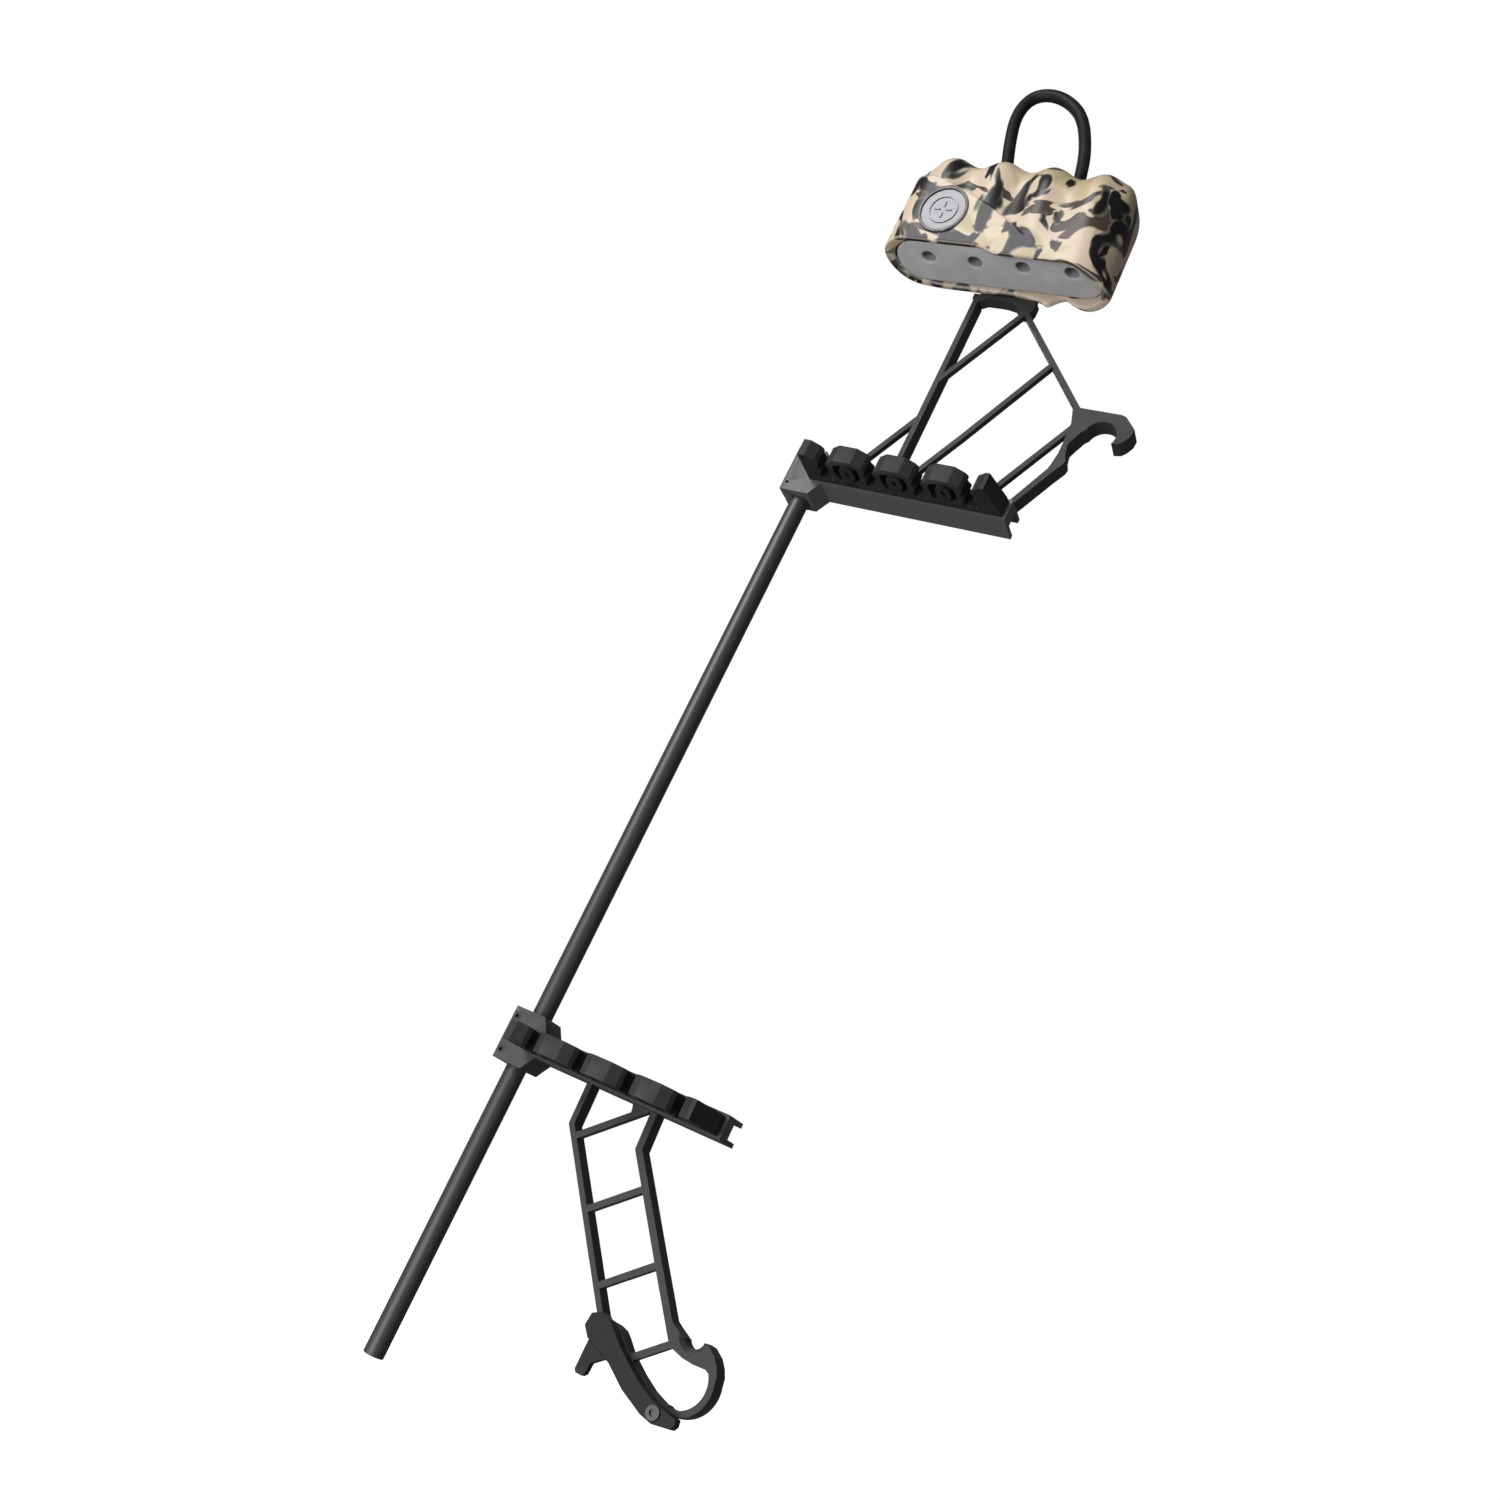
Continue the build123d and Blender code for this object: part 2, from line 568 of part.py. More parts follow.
def make_hood_screws():
    """Screws through the frame's tab and the hood's back wall."""
    return [
        rear_screw(x, HOOD_SCREW_Z, HEAD_BACK + HOOD_HEAD_DEPTH, HOOD_HEAD_RADIUS, HOOD_HEAD_DEPTH,
                   HOOD_SCREW_RADIUS, HOOD_NUT_FRONT)
        for x in HOOD_SCREWS_X]


def make_hood_nuts():
    """Hexagon nuts inside the hood, on the same screws."""
    nuts = []
    for x in HOOD_SCREWS_X:
        section = Pos(x, HOOD_SCREW_Z) * (RegularPolygon(NUT_RADIUS, 6) - Circle(HOOD_SCREW_RADIUS + EPS))
        nuts.append(web(section, HOOD_NUT_FRONT, CAVITY_BACK))
    return nuts


def make_badge():
    """Plain metal badge in the hood's front: a disc with a raised ring and a cross."""
    disc = badge_plate(Circle(BADGE_RADIUS - BADGE_RIM), -BADGE_DEPTH, BADGE_FACE)
    mark = Circle(7.6) - Circle(6.8)
    mark += Rectangle(9.0, 0.9) + Rectangle(0.9, 9.0) - Circle(1.6)
    return disc + badge_plate(mark, BADGE_FACE - EPS, BADGE_MARK_FACE)


def make_badge_bezel():
    """Dark ring around the badge."""
    ring = Circle(BADGE_RADIUS) - Circle(BADGE_RADIUS - BADGE_RIM + EPS)
    return badge_plate(ring, -BADGE_DEPTH, BEZEL_FACE)


# ---------------------------------------------------------------- hanging loop

def loop_radii(points):
    """Radius at each inner point: as large as its two runs allow."""
    radii = []
    for before, here, after in zip(points, points[1:], points[2:]):
        first = Vector(*here) - Vector(*before)
        second = Vector(*after) - Vector(*here)
        half_turn = first.get_angle(second) / 2
        shorter = min(first.length, second.length)
        radii.append(0.45 * shorter / math.tan(math.radians(half_turn)))
    return radii


def loop_feet():
    """Each end of the loop: its point and the direction that the tube leaves it in."""
    points = [Vector(x, LOOP_Y, z) for x, z in LOOP_ROUTE]
    return [(points[0], points[1] - points[0]), (points[-1], points[-2] - points[-1])]


def make_loop():
    """Rubber tube bent into a hanging loop, with both ends in the hood's roof."""
    points = [(x, LOOP_Y, z) for x, z in LOOP_ROUTE]
    radii = loop_radii(points)
    print("loop radii", [round(radius, 1) for radius in radii])
    path = FilletPolyline(*points, radius=radii)
    start = Plane(origin=path @ 0, z_dir=path % 0)
    tube = sweep(start * Circle(LOOP_DIAMETER / 2), path=path)
    section = math.pi * LOOP_DIAMETER ** 2 / 4
    print("loop length", round(path.length, 1))
    print("volume ratio", round(tube.volume / section / path.length, 4))
    return tube


def make_stoppers():
    """Crimped collars under the hood's roof that keep the loop's ends in."""
    return [
        extrude(Plane(origin=foot, z_dir=-up) * Circle(STOPPER_RADIUS), amount=STOPPER_LENGTH)
        for foot, up in loop_feet()]


# ---------------------------------------------------------------- all nodes

def lifted(pieces):
    """Pieces drawn about z = 0, moved to the upper bracket."""
    return [Pos(0, 0, UPPER_Z) * piece for piece in pieces]


def write(name, pieces):
    """One node's file, in the hook's frame."""
    home = Pos(-HOOK_X, -(WEB_FRONT + STUD_BACK) / 2, -HOOK_Z)
    solids = [solid for piece in pieces for solid in (home * piece).solids()]
    shape = solids[0] if len(solids) == 1 else Compound(children=solids)
    export_step(shape, f"parts/{name}.step")


def main():
    os.makedirs("parts", exist_ok=True)
    upper_frame = make_upper_frame()
    lower_frame = make_lower_frame()
    bar = make_bar()
    gripper = make_gripper()
    upper_bar = Pos(0, 0, UPPER_Z) * (bar - frame_screw_holes(UPPER_SCREWS_X)) - upper_frame
    lower_bar = bar - frame_screw_holes(LOWER_SCREWS_X) - lower_frame
    write("rod", [make_rod()])
    write("upper_bar", [upper_bar])
    write("upper_frame", [upper_frame])
    write("upper_gripper", lifted([gripper]))
    write("upper_clamp_screws", lifted(make_clamp_screws()))
    write("upper_frame_screws", lifted(make_frame_screws(UPPER_SCREWS_X)))
    write("lower_bar", [lower_bar])
    write("lower_frame", [lower_frame])
    write("lower_gripper", [gripper])
    write("lower_clamp_screws", make_clamp_screws())
    write("lower_frame_screws", make_frame_screws(LOWER_SCREWS_X))
    write("lock_lever", [make_lever()])
    write("lever_pivot_screw", [make_pivot_screw()])
    write("lever_pivot_nut", [make_pivot_nut()])
    write("hood_shell", [make_hood_shell()])
    write("foam_insert", [make_foam()])
    write("hood_screws", make_hood_screws())
    write("hood_nuts", make_hood_nuts())
    write("badge", [make_badge()])
    write("badge_bezel", [make_badge_bezel()])
    write("hanging_loop", [make_loop()])
    write("loop_stoppers", make_stoppers())


main()
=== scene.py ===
import math

import bmesh
import bpy
from mathutils import Euler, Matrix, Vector


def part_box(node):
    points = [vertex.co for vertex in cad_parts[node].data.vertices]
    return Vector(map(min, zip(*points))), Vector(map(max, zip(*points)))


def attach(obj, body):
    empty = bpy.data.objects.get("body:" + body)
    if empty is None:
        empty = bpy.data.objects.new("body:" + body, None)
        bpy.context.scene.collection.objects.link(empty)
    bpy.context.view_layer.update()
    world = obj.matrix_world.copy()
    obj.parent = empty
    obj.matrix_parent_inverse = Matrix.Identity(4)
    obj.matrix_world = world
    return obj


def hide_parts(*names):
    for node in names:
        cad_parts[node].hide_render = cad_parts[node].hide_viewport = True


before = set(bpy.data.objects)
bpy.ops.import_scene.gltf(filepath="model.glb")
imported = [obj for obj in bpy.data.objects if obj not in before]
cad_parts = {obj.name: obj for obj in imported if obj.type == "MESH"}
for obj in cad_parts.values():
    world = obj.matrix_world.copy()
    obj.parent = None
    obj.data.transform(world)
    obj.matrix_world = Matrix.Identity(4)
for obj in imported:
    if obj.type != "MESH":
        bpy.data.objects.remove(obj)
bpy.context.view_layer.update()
scene = bpy.context.scene

# Lengths below are millimetres from the rod's axis at the lower bracket's middle, as in the CAD:
# +X along the arrow rests, -Y towards the arrows, +Z up the rod. at() turns them into row metres.
MM = 0.001
rod_low, rod_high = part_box("rod")
bar_low, bar_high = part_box("lower_bar")
ZERO = Vector((
    (rod_low[0] + rod_high[0]) / 2,
    (rod_low[1] + rod_high[1]) / 2,
    (bar_low[2] + bar_high[2]) / 2))


def at(x, y, z):
    """Point in the row's frame, in metres."""
    return ZERO + Vector((x, y, z)) * MM


def in_mm(corner):
    """Corner of a node's box, in millimetres from ZERO."""
    return [(corner[i] - ZERO[i]) / MM for i in range(3)]


def smooth(low, high, value):
    """0 below low, 1 above high, and an even curve between."""
    t = min(max((value - low) / (high - low), 0.0), 1.0)
    return t * t * (3 - 2 * t)


# ------------------------------------------------------------------ arrows

PITCH = 25.4
ARROWS = 4
FIRST_ARROW_X = 16.0
ARROW_Y = -20.2
FOAM_HOLE_RADIUS = 3.5


# ------------------------------------------------------------------ material nodes

# Sockets of a Mix node that mixes colours.
MIX_FACTOR = 0
MIX_FIRST = 6
MIX_SECOND = 7
MIX_RESULT = 2


def grey(value):
    return (value, value, value)


def new_material(name, color, roughness, metallic=0.0, specular=0.5):
    """Principled material; returns (material, nodes, links, shader)."""
    material = bpy.data.materials.new(name)
    material.use_nodes = True
    nodes = material.node_tree.nodes
    shader = nodes["Principled BSDF"]
    shader.inputs["Base Color"].default_value = (*color, 1)
    shader.inputs["Roughness"].default_value = roughness
    shader.inputs["Metallic"].default_value = metallic
    shader.inputs["Specular IOR Level"].default_value = specular
    return material, nodes, material.node_tree.links, shader


def millimetres(nodes, links, scale=(1, 1, 1), rotation=(0, 0, 0)):
    """Object coordinates in millimetres, stretched by scale."""
    coordinates = nodes.new("ShaderNodeTexCoord")
    mapping = nodes.new("ShaderNodeMapping")
    mapping.inputs["Scale"].default_value = [s / MM for s in scale]
    mapping.inputs["Rotation"].default_value = rotation
    links.new(coordinates.outputs["Object"], mapping.inputs["Vector"])
    return mapping.outputs["Vector"]


def noise(nodes, links, vector, scale, detail, roughness=0.55, distortion=0.0):
    """Noise with the scale in cycles per millimetre."""
    texture = nodes.new("ShaderNodeTexNoise")
    texture.inputs["Scale"].default_value = scale
    texture.inputs["Detail"].default_value = detail
    texture.inputs["Roughness"].default_value = roughness
    texture.inputs["Distortion"].default_value = distortion
    links.new(vector, texture.inputs["Vector"])
    return texture.outputs["Fac"]


def ramp(nodes, links, factor, stops):
    """Colour ramp from (position, colour) stops."""
    node = nodes.new("ShaderNodeValToRGB")
    elements = node.color_ramp.elements
    while len(elements) < len(stops):
        elements.new(0.5)
    for element, (position, color) in zip(elements, stops):
        element.position = position
        element.color = (*color, 1)
    links.new(factor, node.inputs["Fac"])
    return node.outputs["Color"]


def mask(nodes, links, factor, low, high, top=1.0):
    """0 where the factor is below low, and top where it is above high."""
    return ramp(nodes, links, factor, [(low, grey(0.0)), (high, grey(top))])


def edge_mask(nodes, links, low, high):
    """Bright on convex edges, from the mesh's pointiness."""
    geometry = nodes.new("ShaderNodeNewGeometry")
    return mask(nodes, links, geometry.outputs["Pointiness"], low, high)


def mix(nodes, links, factor, first, second, blend="MIX"):
    """Mix of two colours; each is a socket or a colour."""
    node = nodes.new("ShaderNodeMix")
    node.data_type = "RGBA"
    node.blend_type = blend
    for value, socket in ((factor, MIX_FACTOR), (first, MIX_FIRST), (second, MIX_SECOND)):
        if isinstance(value, bpy.types.NodeSocket):
            links.new(value, node.inputs[socket])
        elif isinstance(value, tuple):
            node.inputs[socket].default_value = (*value, 1)
        else:
            node.inputs[socket].default_value = value
    return node.outputs[MIX_RESULT]


def arithmetic(nodes, links, operation, first, second=None):
    """Result of one sum on sockets or numbers."""
    node = nodes.new("ShaderNodeMath")
    node.operation = operation
    for value, socket in zip((first, second), node.inputs):
        if isinstance(value, bpy.types.NodeSocket):
            links.new(value, socket)
        elif value is not None:
            socket.default_value = value
    return node.outputs[0]


def bump(nodes, links, shader, height, strength, distance_mm):
    """Bump from a height socket."""
    node = nodes.new("ShaderNodeBump")
    node.inputs["Strength"].default_value = strength
    node.inputs["Distance"].default_value = distance_mm * MM
    links.new(height, node.inputs["Height"])
    links.new(node.outputs["Normal"], shader.inputs["Normal"])


# ------------------------------------------------------------------ plastics, rubber and metal

def moulded_plastic(name, dark, light, worn, roughness, specular=0.32):
    """Glass-filled black plastic: mottled colour, fine grain and paler edges."""
    material, nodes, links, shader = new_material(name, dark, roughness, specular=specular)
    vector = millimetres(nodes, links)
    cloud = noise(nodes, links, vector, scale=0.12, detail=5)
    base = ramp(nodes, links, cloud, [(0.35, dark), (0.68, light)])
    speck = noise(nodes, links, vector, scale=2.2, detail=3)
    speckle = ramp(nodes, links, speck, [(0.45, grey(0.86)), (0.7, grey(1.18))])
    base = mix(nodes, links, 1.0, base, speckle, "MULTIPLY")
    base = mix(nodes, links, edge_mask(nodes, links, 0.53, 0.62), base, worn)
    links.new(base, shader.inputs["Base Color"])
    shine = ramp(nodes, links, cloud, [(0.3, grey(roughness - 0.06)), (0.75, grey(roughness + 0.1))])
    links.new(shine, shader.inputs["Roughness"])
    grain = noise(nodes, links, vector, scale=3.5, detail=4, roughness=0.6)
    bump(nodes, links, shader, grain, strength=0.35, distance_mm=0.12)
    return material


def rubber(name, dark, light, roughness):
    """Matte rubber with a soft bloom, a faint mould texture and paler edges."""
    material, nodes, links, shader = new_material(name, dark, roughness, specular=0.14)
    vector = millimetres(nodes, links)
    cloud = noise(nodes, links, vector, scale=0.2, detail=4)
    base = ramp(nodes, links, cloud, [(0.35, dark), (0.7, light)])
    worn = tuple(c * 1.8 for c in light)
    base = mix(nodes, links, edge_mask(nodes, links, 0.53, 0.65), base, worn)
    links.new(base, shader.inputs["Base Color"])
    grain = noise(nodes, links, vector, scale=2.6, detail=5, roughness=0.65)
    bump(nodes, links, shader, grain, strength=0.3, distance_mm=0.15)
    return material


def carbon(name):
    """Wrapped carbon tube: faint crossed tow lines and pale flecks under a satin finish."""
    material, nodes, links, shader = new_material(name, (0.05, 0.05, 0.052), roughness=0.42)
    tow = nodes.new("ShaderNodeTexWave")
    tow.inputs["Scale"].default_value = 0.35
    tow.inputs["Distortion"].default_value = 1.2
    tow.inputs["Detail"].default_value = 2
    tow.bands_direction = "DIAGONAL"
    links.new(millimetres(nodes, links), tow.inputs["Vector"])
    base = ramp(nodes, links, tow.outputs["Fac"], [(0.2, grey(0.022)), (0.8, grey(0.042))])
    flecks = noise(nodes, links, millimetres(nodes, links, scale=(1, 1, 0.3)), scale=1.1, detail=3)
    base = mix(nodes, links, mask(nodes, links, flecks, 0.6, 0.78, top=0.5), base, (0.09, 0.09, 0.094))
    links.new(base, shader.inputs["Base Color"])
    bump(nodes, links, shader, flecks, strength=0.3, distance_mm=0.12)
    return material


def metal(name, color, roughness, direction=(1, 1, 1)):
    """Brushed or turned metal; direction says how fine its lines are along X, Y and Z."""
    material, nodes, links, shader = new_material(name, color, roughness, metallic=1.0)
    lines = noise(nodes, links, millimetres(nodes, links, direction), scale=1.6, detail=4, roughness=0.6)
    dull = tuple(c * 0.78 for c in color)
    links.new(ramp(nodes, links, lines, [(0.3, dull), (0.7, color)]), shader.inputs["Base Color"])
    bump(nodes, links, shader, lines, strength=0.25, distance_mm=0.05)
    return material


# ------------------------------------------------------------------ foam material

# Painted shade down the arrow holes: how much of the dark colour the holes take, and the distances from the
# radius between which it fades.
HOLE_DARKNESS = 0.88
HOLE_FADE = (-0.1, 0.3)


def painted_hole_shade(nodes, links, vector):
    """Painted shade: HOLE_DARKNESS inside the arrow holes and 0 outside, from the distance to the nearest
    hole's axis.
    """
    axis = at(FIRST_ARROW_X, ARROW_Y, 0) / MM
    split = nodes.new("ShaderNodeSeparateXYZ")
    links.new(vector, split.inputs["Vector"])
    along = arithmetic(nodes, links, "SUBTRACT", split.outputs["X"], axis.x - PITCH / 2)
    along = arithmetic(nodes, links, "FLOORED_MODULO", along, PITCH)
    along = arithmetic(nodes, links, "SUBTRACT", along, PITCH / 2)
    across = arithmetic(nodes, links, "SUBTRACT", split.outputs["Y"], axis.y)
    squares = [
        arithmetic(nodes, links, "POWER", arithmetic(nodes, links, "ABSOLUTE", side), 2.0)
        for side in (along, across)]
    distance = arithmetic(nodes, links, "SQRT", arithmetic(nodes, links, "ADD", *squares))
    level = nodes.new("ShaderNodeMapRange")
    level.inputs["From Min"].default_value = FOAM_HOLE_RADIUS + HOLE_FADE[0]
    level.inputs["From Max"].default_value = FOAM_HOLE_RADIUS + HOLE_FADE[1]
    level.inputs["To Min"].default_value = HOLE_DARKNESS
    level.inputs["To Max"].default_value = 0.0
    links.new(distance, level.inputs["Value"])
    return level.outputs["Result"]


def foam_grey(name):
    """Closed-cell foam, cut smooth, with painted shade down its holes."""
    material, nodes, links, shader = new_material(name, grey(0.5), roughness=0.88, specular=0.25)
    vector = millimetres(nodes, links)
    cells = nodes.new("ShaderNodeTexVoronoi")
    cells.inputs["Scale"].default_value = 1.4
    links.new(vector, cells.inputs["Vector"])
    cloud = noise(nodes, links, vector, scale=0.08, detail=3)
    base = ramp(nodes, links, cloud, [(0.35, (0.465, 0.47, 0.48)), (0.7, (0.545, 0.55, 0.555))])
    pores = ramp(nodes, links, cells.outputs["Distance"], [(0.05, grey(0.9)), (0.5, grey(1.05))])
    base = mix(nodes, links, 1.0, base, pores, "MULTIPLY")
    # Painted shade: the colour darkens towards grey(0.03) inside the holes, where the recess falls dark.
    base = mix(nodes, links, painted_hole_shade(nodes, links, vector), base, grey(0.03))
    links.new(base, shader.inputs["Base Color"])
    bump(nodes, links, shader, cells.outputs["Distance"], strength=0.25, distance_mm=0.25)
    return material


# ------------------------------------------------------------------ camouflage material

CREAM = (0.56, 0.47, 0.34)
PINK_TAN = (0.55, 0.43, 0.34)
KHAKI = (0.42, 0.34, 0.21)
GREY_GREEN = (0.12, 0.12, 0.09)
BARK = (0.050, 0.035, 0.030)
BLACK = (0.006, 0.006, 0.007)
# Pale tint laid on convex edges: a painted highlight.
PAINTED_EDGE_HIGHLIGHT = (0.80, 0.74, 0.63)
# Strokes: how they stretch and turn, their place in the noise, their scale, and how rare they are.
BARK_STRETCH = (0.6, 1, 1.4)
BARK_TURN = (0, 0.5, 0)
BARK_STROKES = ((13, 5, 40), 0.048, 0.0)
DARK_STRETCH = (1.1, 1, 0.8)
DARK_TURN = (0, -0.5, 0)
DARK_STROKES = (((-35, 5, 20), 0.055, 0.0), ((-8, 31, 79), 0.050, 0.018))
# Noise levels between which each colour comes in.
BARK_LEVELS = (0.60, 0.612)
FRINGE_LEVELS = (0.565, 0.585)
CORE_LEVELS = (0.582, 0.61)


def camouflage(name):
    """Printed film: cream and tan ground, brown strokes, black strokes with a grey-green fringe, and a
    painted highlight along convex edges.
    """
    material, nodes, links, shader = new_material(name, CREAM, roughness=0.4, specular=0.3)
    vector = millimetres(nodes, links)
    ground = noise(nodes, links, vector, scale=0.04, detail=3, roughness=0.5, distortion=0.6)
    base = ramp(nodes, links, ground, [(0.36, KHAKI), (0.46, CREAM), (0.56, PINK_TAN), (0.66, CREAM)])

    def strokes(stretch, turn, spread, levels, color, under):
        """Curved strokes of one colour laid over the rest."""
        offset, scale, rarer = spread
        moved = nodes.new("ShaderNodeMapping")
        moved.inputs["Location"].default_value = offset
        links.new(millimetres(nodes, links, stretch, turn), moved.inputs["Vector"])
        blot = noise(nodes, links, moved.outputs["Vector"], scale, detail=2.0, roughness=0.5, distortion=0.8)
        start, end = levels
        return mix(nodes, links, mask(nodes, links, blot, start + rarer, end + rarer), under, color)

    base = strokes(BARK_STRETCH, BARK_TURN, BARK_STROKES, BARK_LEVELS, BARK, base)
    for levels, color in ((FRINGE_LEVELS, GREY_GREEN), (CORE_LEVELS, BLACK)):
        for spread in DARK_STROKES:
            base = strokes(DARK_STRETCH, DARK_TURN, spread, levels, color, base)
    # Pale tint on convex edges from pointiness: a painted highlight where the panel's edge and the lobes'
    # crests catch the light.
    base = mix(nodes, links, edge_mask(nodes, links, 0.525, 0.57), base, PAINTED_EDGE_HIGHLIGHT)
    links.new(base, shader.inputs["Base Color"])
    fine = noise(nodes, links, vector, scale=1.6, detail=3)
    bump(nodes, links, shader, fine, strength=0.12, distance_mm=0.08)
    return material


# ------------------------------------------------------------------ every node's material and edges

PLASTIC = moulded_plastic("moulded_plastic", grey(0.034), grey(0.048), grey(0.10), 0.5)
FRAME_PLASTIC = moulded_plastic("frame_plastic", grey(0.009), grey(0.015), grey(0.04), 0.48, specular=0.14)
LEVER_PLASTIC = moulded_plastic("lever_plastic", grey(0.012), grey(0.018), grey(0.05), 0.45, specular=0.12)
GRIP_RUBBER = rubber("grip_rubber", grey(0.020), grey(0.032), 0.62)
LOOP_RUBBER = rubber("loop_rubber", grey(0.010), grey(0.016), 0.5)
CARBON = carbon("carbon_rod")
BLACK_STEEL = metal("black_steel", (0.05, 0.05, 0.05), 0.42)
BRIGHT_STEEL = metal("bright_steel", (0.11, 0.11, 0.115), 0.36)
PIVOT_STEEL = metal("pivot_steel", (0.06, 0.06, 0.063), 0.45)
BADGE_METAL = metal("badge_metal", (0.26, 0.26, 0.27), 0.58, direction=(0.15, 1, 2.5))
BEZEL = moulded_plastic("bezel", grey(0.03), grey(0.04), (0.12, 0.12, 0.13), 0.3)
FOAM = foam_grey("foam")
CAMO = camouflage("camouflage_film")

NODE_MATERIALS = {
    "rod": CARBON,
    "upper_bar": PLASTIC,
    "lower_bar": PLASTIC,
    "upper_frame": FRAME_PLASTIC,
    "lower_frame": FRAME_PLASTIC,
    "upper_gripper": GRIP_RUBBER,
    "lower_gripper": GRIP_RUBBER,
    "upper_clamp_screws": BLACK_STEEL,
    "lower_clamp_screws": BLACK_STEEL,
    "upper_frame_screws": BLACK_STEEL,
    "lower_frame_screws": BLACK_STEEL,
    "hood_screws": BLACK_STEEL,
    "hood_nuts": BRIGHT_STEEL,
    "lock_lever": LEVER_PLASTIC,
    "lever_pivot_screw": PIVOT_STEEL,
    "lever_pivot_nut": BLACK_STEEL,
    "loop_stoppers": BRIGHT_STEEL,
    "badge": BADGE_METAL,
    "badge_bezel": BEZEL,
    "hood_shell": CAMO,
    "foam_insert": FOAM,
    "hanging_loop": LOOP_RUBBER,
}
BEVELS_MM = {
    "upper_bar": 0.45,
    "lower_bar": 0.45,
    "upper_frame": 0.4,
    "lower_frame": 0.4,
    "upper_gripper": 0.4,
    "lower_gripper": 0.4,
    "lock_lever": 0.3,
    "badge": 0.12,
    "badge_bezel": 0.2,
}
WELD_MM = 0.002
SHARP_EDGE = math.radians(35)


def dress_nodes():
    """Materials on every CAD node, and small rounded edges on the moulded ones."""
    for name, material in NODE_MATERIALS.items():
        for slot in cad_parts[name].material_slots:
            slot.material = material
    for name, width in BEVELS_MM.items():
        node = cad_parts[name]
        weld = node.modifiers.new("weld", "WELD")
        weld.merge_threshold = WELD_MM * MM
        bevel = node.modifiers.new("bevel", "BEVEL")
        bevel.width = width * MM
        bevel.segments = 2
        bevel.limit_method = "ANGLE"
        bevel.angle_limit = SHARP_EDGE
        bevel.harden_normals = True


# ------------------------------------------------------------------ hood sizes

hood_low, hood_high = (in_mm(corner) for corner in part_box("hood_shell"))
foam_low, foam_high = (in_mm(corner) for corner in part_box("foam_insert"))
HOOD_RIM = hood_low[2]
HOOD_TOP = hood_high[2]
HOOD_BACK = hood_high[1]
HOOD_LEFT = hood_low[0]
HOOD_RIGHT = hood_high[0] - 0.2
HOOD_FRONT = -33.5
HOOD_TOP_FRONT = -41.0
HOOD_TAPER_LEFT = 4.4
HOOD_TAPER_RIGHT = 1.6
HOOD_CORNER = 16.0
SMALLEST_CORNER = 0.5
HOOD_ROUND = 18.0
# Share of the roof's rounding that the right side takes.
RIGHT_INSET = 0.5
# The roof falls away to the right: by how much, and over which share of the height and which X.
HOOD_FALL = 2.8
FALL_CLIMB = (0.3, 1.0)
FALL_X = (45, 100)
# The roof's last ring stops short of the middle line, and the roof is slightly crowned.
ROOF_GAP = 0.3
ROOF_CROWN = 0.4

# The rim: its height in front and behind, (start, end, depth) of each drop along X, (middle, half width,
# height) of each hump, and the Y between which the front's height gives way to the back's.
RIM_FRONT = 433.8
RIM_FRONT_DROPS = ((44, 58, 3.2), (90, 108, 3.6))
RIM_BACK = 435.6
RIM_BACK_DROPS = ((-9, 22, 2.0), (60, 74, 1.6))
RIM_BACK_HUMPS = ((86, 4.5, 3.0), (77.5, 2.6, -2.0), (100, 8, -1.5))
RIM_TURN = (-24, -6)
# The lip inside the rim: thickness, depth, corner radius, and its rings and the rim's in thicknesses.
LIP = 1.2
LIP_DEPTH = 6.0
LIP_CORNER = 13.5
LIP_RINGS = ((0.3, 0.3), (0.0, 1.0))
RIM_RINGS = ((0.0, 1.0), (0.12, 0.5), (0.45, 0.12))

# Lobes over the arrows: pitch, height, the height's share left at the rim, and where they fade.
FIRST_LOBE_X = 14.0
LOBE_PITCH = 26.8
LOBE_HEIGHT = 1.9
LOBE_AT_RIM = 0.12
LOBE_GROWTH_Z = (438, 472)
LOBES_LEFT = (-9, -1)
LOBES_RIGHT = (97, 110)
# Flat panel round the badge: its diagonal edge, where it ends, and the step down to it.
PANEL_X = 8.0
PANEL_EDGE_Z = 469.7
PANEL_EDGE_SLOPE = 0.27
PANEL_EDGE_CURVE = 0.00332
PANEL_EDGE_WIDTH = (-0.3, 0.3)
PANEL_RIGHT = (70, 74)
PANEL_STEP = 1.9
STEP_LEFT = (-9, -4)
STEP_RIGHT = (56, 72)
STEP_TOP_Z = (473, 483)
# How quickly the relief fades round the corners.
FACING_POWER = 1.5

FRONT_COLUMNS = 190
BACK_COLUMNS = 70
CORNER_COLUMNS = 16
SIDE_COLUMNS = 6
WALL_ROWS = 100
ARC_ROWS = 22
ROOF_ROWS = 6


# ------------------------------------------------------------------ outline shared by hood and foam

OUTLINE = (
    ("front", FRONT_COLUMNS), ("front_right", CORNER_COLUMNS),
    ("right", SIDE_COLUMNS), ("back_right", CORNER_COLUMNS),
    ("back", BACK_COLUMNS), ("back_left", CORNER_COLUMNS),
    ("left", SIDE_COLUMNS), ("front_left", CORNER_COLUMNS))
# (side, fraction along it) for each column round the hood.
STEPS = [(side, i / columns) for side, columns in OUTLINE for i in range(columns)]
# (first angle, at the right, at the back) of each corner.
CORNER_TURNS = {
    "front_right": (-90, True, False),
    "back_right": (0, True, True),
    "back_left": (90, False, True),
    "front_left": (180, False, False),
}


